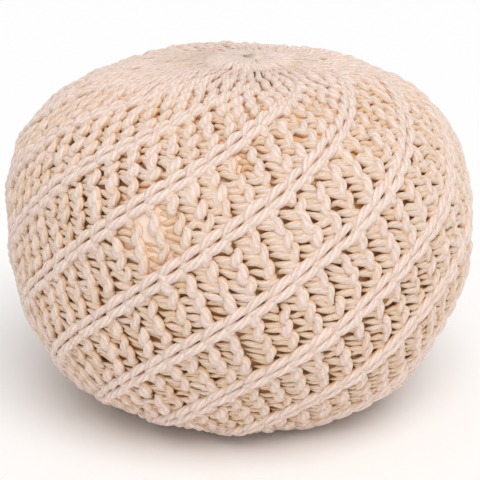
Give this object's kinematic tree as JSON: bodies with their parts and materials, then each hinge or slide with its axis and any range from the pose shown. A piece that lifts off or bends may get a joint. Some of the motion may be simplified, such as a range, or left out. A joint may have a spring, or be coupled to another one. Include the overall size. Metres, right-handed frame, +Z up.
{
  "type": "knitted floor pouf",
  "caption": "Round filled floor pouf in chunky knitted cotton cord, gathered at the top, with chain ribs that spiral down its full sides.",
  "frame": {"origin": "the middle of the flat base, on the floor", "axes": "+Z up along the pouf's axis, -Y towards the front, the side with the slack stitches, +X to the right seen from the front"},
  "size_m": [0.4994, 0.4998, 0.3659],
  "materials": {
    "cotton_cord": "undyed pale beige cotton cord, matt, softly twisted, in open chunky knitting"
  },
  "bodies": {
    "root": {"pouf": "cotton_cord"}
  },
  "joints": []
}
